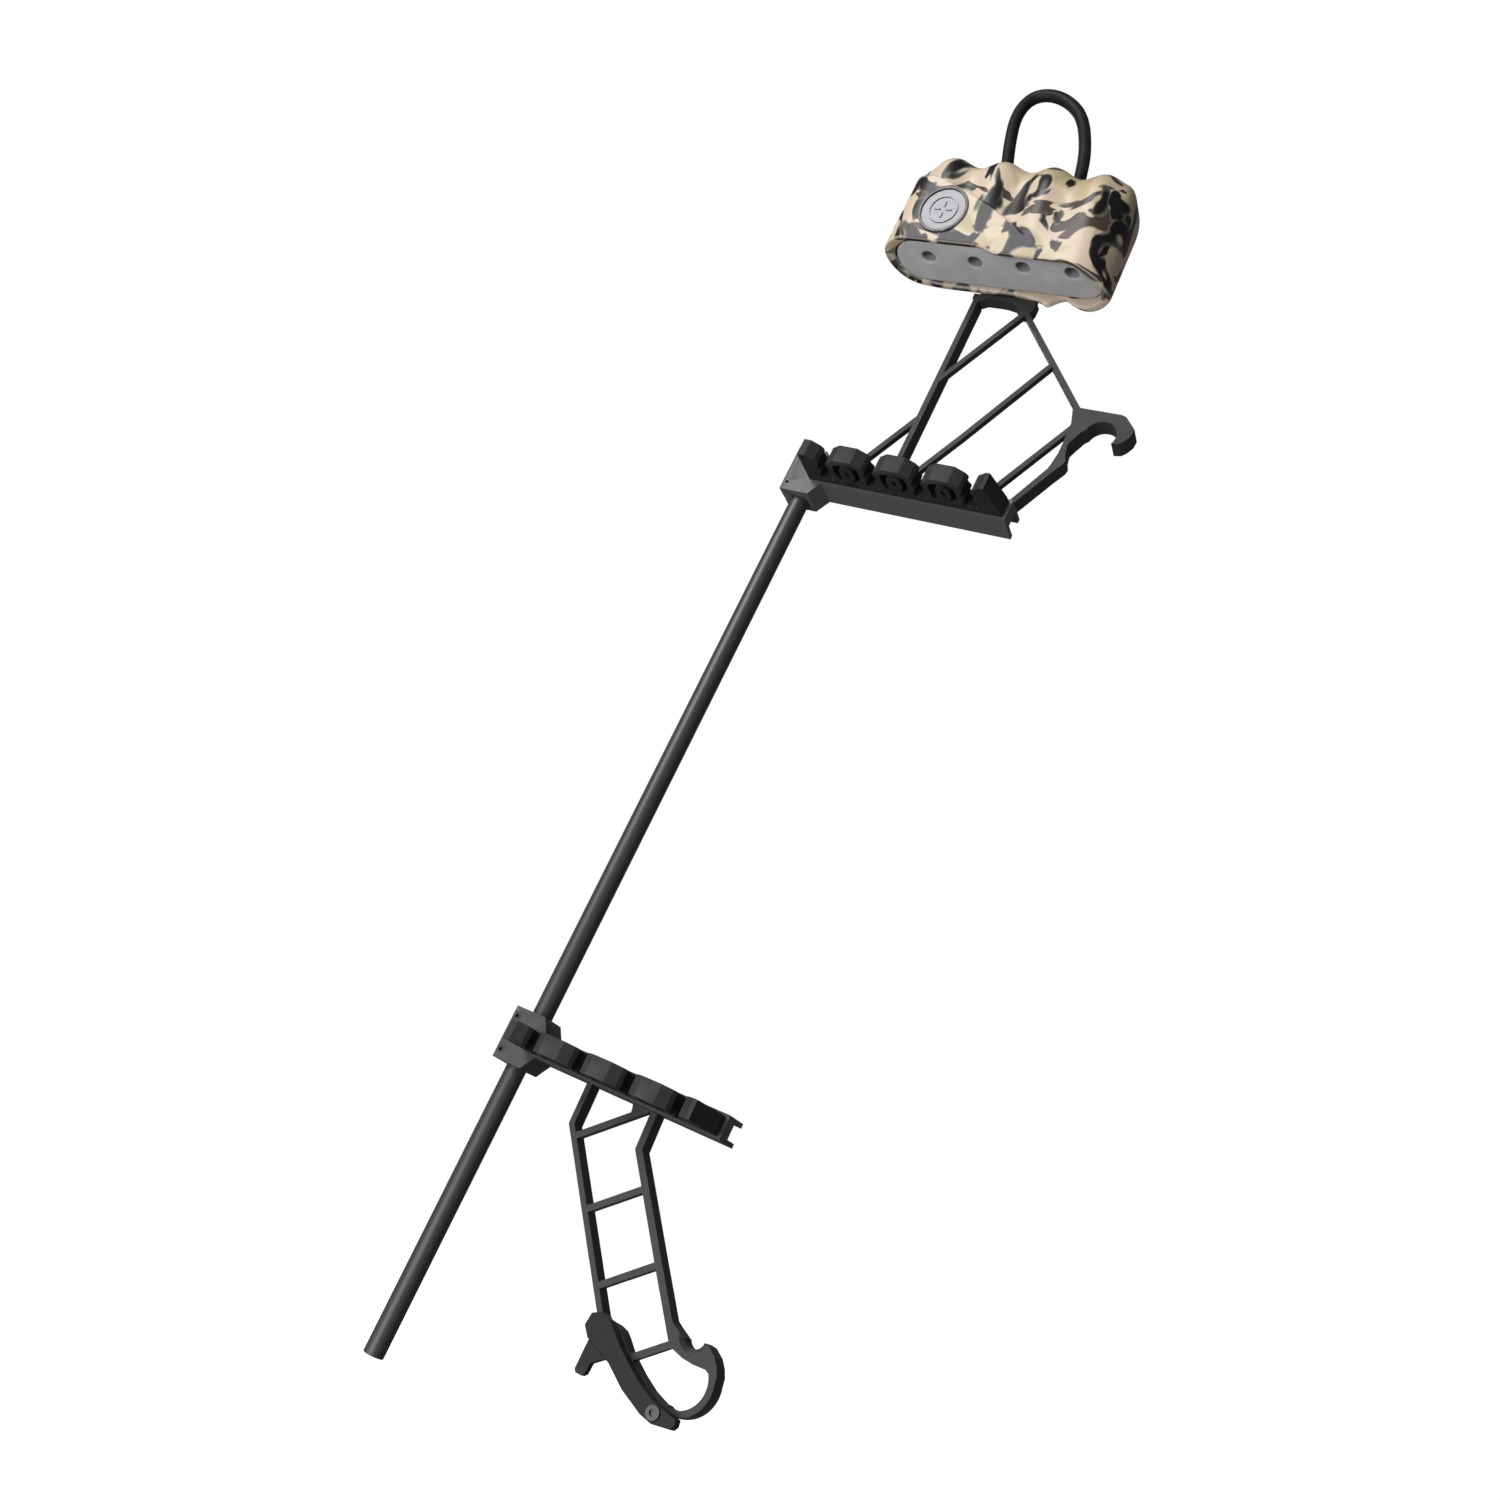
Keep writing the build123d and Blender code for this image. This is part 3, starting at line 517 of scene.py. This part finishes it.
def on_outline(step, left, right, front, back, corner):
    """(x, y, outward x, outward y) of one column on a rounded rectangle."""
    side, t = step
    if side == "front":
        return left + corner + (right - left - 2 * corner) * t, front, 0, -1
    if side == "right":
        return right, front + corner + (back - front - 2 * corner) * t, 1, 0
    if side == "back":
        return right - corner - (right - left - 2 * corner) * t, back, 0, 1
    if side == "left":
        return left, back - corner - (back - front - 2 * corner) * t, -1, 0
    start, at_right, at_back = CORNER_TURNS[side]
    angle = math.radians(start + 90 * t)
    centre_x = right - corner if at_right else left + corner
    centre_y = back - corner if at_back else front + corner
    out = math.cos(angle), math.sin(angle)
    return centre_x + corner * out[0], centre_y + corner * out[1], *out


def on_hood(step):
    """One column of the hood's outline at its rim."""
    return on_outline(step, HOOD_LEFT, HOOD_RIGHT, HOOD_FRONT, HOOD_BACK, HOOD_CORNER)


# ------------------------------------------------------------------ hood

def after_drops(x, height, drops):
    """Height left at x once each drop before it is taken off."""
    return height - sum(depth * smooth(start, end, x) for start, end, depth in drops)


def rim_height(x, y):
    """Height of the hood's bottom edge: level at the left, lower at the front right, wavy behind."""
    front = after_drops(x, RIM_FRONT, RIM_FRONT_DROPS)
    back = after_drops(x, RIM_BACK, RIM_BACK_DROPS)
    back += sum(height * math.exp(-((x - middle) / width) ** 2) for middle, width, height in RIM_BACK_HUMPS)
    return front + (back - front) * smooth(*RIM_TURN, y)


def panel_edge(x):
    """Height of the diagonal edge of the flat panel around the badge."""
    along = x - PANEL_X
    return PANEL_EDGE_Z - PANEL_EDGE_SLOPE * along - PANEL_EDGE_CURVE * along * along


def lobe(x):
    """1 over a lobe's middle and -1 half-way between two."""
    return math.cos(2 * math.pi * (x - FIRST_LOBE_X) / LOBE_PITCH)


def relief(x, z, facing, rise):
    """How far the hood's skin stands out: lobes over the arrows, behind the flat panel's edge.

    facing is 1 on the front and 0 on the sides and back; rise is 0 on the wall and 1 on the roof.
    """
    inside = smooth(*LOBES_LEFT, x) * (1 - smooth(*LOBES_RIGHT, x))
    fold = lobe(x) * LOBE_HEIGHT * (LOBE_AT_RIM + (1 - LOBE_AT_RIM) * smooth(*LOBE_GROWTH_Z, z))
    beyond = max(smooth(*PANEL_EDGE_WIDTH, z - panel_edge(x)), smooth(*PANEL_RIGHT, x))
    step = PANEL_STEP * smooth(*STEP_LEFT, x) * (1 - smooth(*STEP_RIGHT, x))
    step *= (1 - smooth(*STEP_TOP_Z, z)) * (1 - rise)
    return facing * inside * beyond * (fold - step)


def hood_ring(height, inset, tilt, relief_share):
    """One ring of the hood's skin; height gives z at (x, y), and tilt is the skin's angle from upright."""
    ring = []
    for step in STEPS:
        rim_x, rim_y = on_hood(step)[:2]
        z = height(rim_x, rim_y)
        climb = (z - HOOD_RIM) / (HOOD_TOP - HOOD_RIM)
        z -= HOOD_FALL * smooth(*FALL_CLIMB, climb) * smooth(*FALL_X, rim_x)
        left = HOOD_LEFT + HOOD_TAPER_LEFT * climb + inset
        right = HOOD_RIGHT - HOOD_TAPER_RIGHT * climb - inset * RIGHT_INSET
        front = HOOD_FRONT + (HOOD_TOP_FRONT - HOOD_FRONT) * climb + inset
        corner = max(HOOD_CORNER - inset, SMALLEST_CORNER)
        x, y, out_x, out_y = on_outline(step, left, right, front, HOOD_BACK - inset, corner)
        facing = max(-out_y, 0.0) ** FACING_POWER * relief_share
        push = relief(x, z, facing, math.sin(tilt))
        flat = math.cos(tilt) * push
        ring.append((x + out_x * flat, y + out_y * flat, z + math.sin(tilt) * push))
    return ring


def lip_ring(lift, grow):
    """One ring of the hood's inner lip, just inside the foam's outline."""
    ring = []
    for step in STEPS:
        x, y, out_x, out_y = on_outline(
            step, foam_low[0], foam_high[0], foam_low[1], foam_high[1], LIP_CORNER)
        rim_x, rim_y = on_hood(step)[:2]
        ring.append((x + out_x * grow, y + out_y * grow, rim_height(rim_x, rim_y) + lift))
    return ring


def hood_rings():
    """Rings of the hood's skin: down inside the lip, round the rim, up the wall and over the roof."""
    rings = [lip_ring(LIP_DEPTH, 0.0), lip_ring(LIP, 0.0)]
    rings += [lip_ring(lift * LIP, grow * LIP) for lift, grow in LIP_RINGS]
    for lift, inset in RIM_RINGS:
        rings.append(hood_ring(lambda x, y, up=lift * LIP: rim_height(x, y) + up, inset * LIP, 0, 1))
    wall_top = HOOD_TOP - HOOD_ROUND
    for row in range(WALL_ROWS + 1):
        part = row / WALL_ROWS
        rings.append(hood_ring(
            lambda x, y, t=part: (rim_height(x, y) + LIP) * (1 - t) + wall_top * t, 0, 0, 1))
    for row in range(1, ARC_ROWS + 1):
        angle = math.pi / 2 * row / ARC_ROWS
        z = wall_top + HOOD_ROUND * math.sin(angle)
        rings.append(hood_ring(lambda x, y, z=z: z, HOOD_ROUND * (1 - math.cos(angle)), angle, 1))
    left_over = (HOOD_BACK - HOOD_TOP_FRONT) / 2 - HOOD_ROUND - ROOF_GAP
    for row in range(1, ROOF_ROWS + 1):
        part = row / ROOF_ROWS
        z = HOOD_TOP + ROOF_CROWN * math.sin(part * math.pi / 2)
        rings.append(hood_ring(lambda x, y, z=z: z, HOOD_ROUND + left_over * part, math.pi / 2, 1 - part))
    return rings


def hood_skin():
    """Moulded hood with four lobes, a flat panel for the badge and a wavy rim."""
    rings = hood_rings()
    columns = len(STEPS)
    faces = []
    for start in range(0, (len(rings) - 1) * columns, columns):
        for column in range(columns):
            beside = (column + 1) % columns
            above = start + columns
            faces.append((start + column, start + beside, above + beside, above + column))
    last = (len(rings) - 1) * columns
    faces.append(tuple(last + i for i in range(columns)))
    mesh = bpy.data.meshes.new("hood_skin")
    mesh.from_pydata([at(*point) for ring in rings for point in ring], [], faces)
    mesh.validate()
    mesh.polygons.foreach_set("use_smooth", [True] * len(mesh.polygons))
    mesh.materials.append(CAMO)
    skin = bpy.data.objects.new("hood_skin", mesh)
    scene.collection.objects.link(skin)
    cleaned = bmesh.new()
    cleaned.from_mesh(mesh)
    bmesh.ops.triangulate(cleaned, faces=[face for face in cleaned.faces if len(face.verts) > 4])
    bmesh.ops.recalc_face_normals(cleaned, faces=cleaned.faces)
    cleaned.to_mesh(mesh)
    cleaned.free()
    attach(skin, "upper_assembly")
    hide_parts("hood_shell")


# ------------------------------------------------------------------ foam

FOAM_INSET = 0.5
FOAM_CORNER = 13.0
# The block is this much shorter than its CAD box, and its face is this far above the box's bottom.
FOAM_SHORTER = 1
FOAM_LIFT = 0.3
# The voxel remesh and the smoothing close the holes a little, so they start wider.
HOLE_EASE = 0.15
HOLE_POINTS = 28
FOAM_VOXEL = 0.8
# The crown on the face: its height, its half sizes, and how square its outline is.
CROWN = 0.5
CROWN_HALF_DEPTH = 14.5
CROWN_HALF_WIDTH = 55.5
# Shares of the depth below the block's middle between which the crown comes in.
CROWN_FADE = (0.3, 0.5)


def add_outline(curve, points):
    """Closed polyline on a flat curve, in metres, from (x, y) in millimetres."""
    spline = curve.splines.new("POLY")
    spline.points.add(len(points) - 1)
    for point, (x, y) in zip(spline.points, points):
        point.co = (x * MM, y * MM, 0, 1)
    spline.use_cyclic_u = True


def circle(x, y, radius):
    """Points round a circle."""
    angles = [2 * math.pi * i / HOLE_POINTS for i in range(HOLE_POINTS)]
    return [(x + radius * math.cos(angle), y + radius * math.sin(angle)) for angle in angles]


def foam_pad():
    """Foam block: soft edges, a slight crown on its face and a hole for each arrow."""
    curve = bpy.data.curves.new("foam_outline", "CURVE")
    curve.dimensions = "2D"
    curve.fill_mode = "BOTH"
    left, front = (foam_low[i] + FOAM_INSET for i in (0, 1))
    right, back = (foam_high[i] - FOAM_INSET for i in (0, 1))
    add_outline(curve, [on_outline(step, left, right, front, back, FOAM_CORNER)[:2] for step in STEPS])
    for i in range(ARROWS):
        add_outline(curve, circle(FIRST_ARROW_X + PITCH * i, ARROW_Y, FOAM_HOLE_RADIUS + HOLE_EASE))
    depth = foam_high[2] - foam_low[2] - FOAM_SHORTER
    curve.extrude = depth / 2 * MM
    block = bpy.data.objects.new("foam_block", curve)
    scene.collection.objects.link(block)
    flat_sided = bpy.data.meshes.new_from_object(
        block.evaluated_get(bpy.context.evaluated_depsgraph_get()))
    bpy.data.objects.remove(block)
    pad = bpy.data.objects.new("foam_pad", flat_sided)
    scene.collection.objects.link(pad)
    remesh = pad.modifiers.new("voxels", "REMESH")
    remesh.mode = "VOXEL"
    remesh.voxel_size = FOAM_VOXEL * MM
    relax = pad.modifiers.new("relax", "SMOOTH")
    relax.factor = 0.5
    relax.iterations = 3
    final = bpy.data.meshes.new_from_object(pad.evaluated_get(bpy.context.evaluated_depsgraph_get()))
    pad.modifiers.clear()
    pad.data = final
    middle_z = foam_low[2] + FOAM_LIFT + depth / 2
    centre_x = (foam_low[0] + foam_high[0]) / 2
    centre_y = (foam_low[1] + foam_high[1]) / 2
    for vertex in final.vertices:
        x, y, z = (c / MM for c in vertex.co)
        face = smooth(CROWN_FADE[0] * depth, CROWN_FADE[1] * depth, -z)
        across = 1 - min(abs(y - centre_y) / CROWN_HALF_DEPTH, 1) ** 2
        along = 1 - min(abs(x - centre_x) / CROWN_HALF_WIDTH, 1) ** 6
        z -= CROWN * face * across * along
        vertex.co = at(x, y, z + middle_z)
    final.polygons.foreach_set("use_smooth", [True] * len(final.polygons))
    final.materials.clear()
    final.materials.append(FOAM)
    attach(pad, "upper_assembly")
    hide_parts("foam_insert")


# ------------------------------------------------------------------ hanging loop

LOOP_DIAMETER = 6.35
LOOP_Y = -16.0
LOOP_ROUTE = [
    (37.5, 478), (32.6, 495), (26.3, 515), (22.5, 533), (26, 545), (36, 548), (48, 543.5), (59, 533.5),
    (68.2, 513), (72.2, 495), (75, 478)]


def hanging_loop():
    """Rubber tube on one smooth spline, both ends in the hood's roof."""
    curve = bpy.data.curves.new("hanging_loop_tube", "CURVE")
    curve.dimensions = "3D"
    curve.resolution_u = 24
    curve.bevel_depth = LOOP_DIAMETER / 2 * MM
    curve.bevel_resolution = 8
    curve.use_fill_caps = True
    spline = curve.splines.new("NURBS")
    spline.points.add(len(LOOP_ROUTE) - 1)
    for point, (x, z) in zip(spline.points, LOOP_ROUTE):
        point.co = (*at(x, LOOP_Y, z), 1)
    spline.order_u = 3
    spline.use_endpoint_u = True
    loop = bpy.data.objects.new("loop_tube", curve)
    scene.collection.objects.link(loop)
    curve.materials.append(LOOP_RUBBER)
    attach(loop, "upper_assembly")
    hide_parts("hanging_loop")
    x, z = LOOP_ROUTE[0]


# ------------------------------------------------------------------ stage, in metres

CAMERA_PLACE = (0.2394, -0.6008, -0.4022)
CAMERA_TURN = (105.206, -25.117, 22.504)
LENS_MM = 36.75
SENSOR_MM = 36
SHIFT = (0.0196, 0.0474)
NEAREST_SEEN = 0.02
FLOOR_Z = -0.75
FLOOR_REACH = 6.0
# The surroundings look white, but light the object only this much.
ROOM_LIGHT = 0.13
MIDDLE = (-0.08, 0, -0.12)
HOOD_UNDERSIDE = (-0.08, 0, 0.08)


def add_camera():
    """Camera low and to the right of the quiver, rolled so that the rod leans."""
    data = bpy.data.cameras.new("camera")
    data.lens = LENS_MM
    data.sensor_width = SENSOR_MM
    data.shift_x, data.shift_y = SHIFT
    data.clip_start = NEAREST_SEEN
    camera = bpy.data.objects.new("camera", data)
    camera.location = CAMERA_PLACE
    camera.rotation_euler = Euler([math.radians(angle) for angle in CAMERA_TURN])
    scene.collection.objects.link(camera)
    scene.camera = camera


def add_light(name, place, target, size, power):
    """Square area light that faces target."""
    data = bpy.data.lights.new(name, "AREA")
    data.size = size
    data.energy = power
    lamp = bpy.data.objects.new(name, data)
    lamp.location = place
    lamp.rotation_euler = (Vector(target) - Vector(place)).to_track_quat("-Z", "Y").to_euler()
    scene.collection.objects.link(lamp)


def add_surroundings():
    """White world that lights the object less than it shines into the camera."""
    scene.view_settings.view_transform = "Standard"
    scene.view_settings.look = "None"
    world = bpy.data.worlds.new("studio")
    scene.world = world
    world.use_nodes = True
    nodes = world.node_tree.nodes
    links = world.node_tree.links
    background = nodes["Background"]
    background.inputs["Color"].default_value = (1, 1, 1, 1)
    path = nodes.new("ShaderNodeLightPath")
    level = nodes.new("ShaderNodeMapRange")
    level.inputs["To Min"].default_value = ROOM_LIGHT
    level.inputs["To Max"].default_value = 1.0
    links.new(path.outputs["Is Camera Ray"], level.inputs["Value"])
    links.new(level.outputs["Result"], background.inputs["Strength"])


def add_floor():
    """Pale floor that glows white, and neither lights nor shades the object."""
    corners = [(x * FLOOR_REACH, y * FLOOR_REACH, FLOOR_Z) for x, y in ((-1, -1), (1, -1), (1, 1), (-1, 1))]
    mesh = bpy.data.meshes.new("floor")
    mesh.from_pydata(corners, [], [(0, 1, 2, 3)])
    floor = bpy.data.objects.new("floor", mesh)
    pale = bpy.data.materials.new("pale_floor")
    pale.use_nodes = True
    shader = pale.node_tree.nodes["Principled BSDF"]
    shader.inputs["Base Color"].default_value = (*grey(0.9), 1)
    shader.inputs["Emission Color"].default_value = (*grey(1), 1)
    shader.inputs["Emission Strength"].default_value = 1.0
    mesh.materials.append(pale)
    floor.visible_diffuse = False
    floor.visible_glossy = False
    floor.visible_shadow = False
    scene.collection.objects.link(floor)


def add_stage():
    """Pale floor, white surroundings and soft studio lights."""
    add_surroundings()
    add_floor()
    add_light("key", (-1.1, -1.9, 0.75), MIDDLE, size=1.1, power=49)
    add_light("rim", (-1.2, 1.2, 1.2), MIDDLE, size=0.9, power=9)
    add_light("fill", (1.6, -1.2, -0.5), MIDDLE, size=1.4, power=1.5)
    add_light("under", (-0.3, -0.9, -0.7), HOOD_UNDERSIDE, size=0.7, power=9)


add_camera()
add_stage()
dress_nodes()
hood_skin()
foam_pad()
hanging_loop()
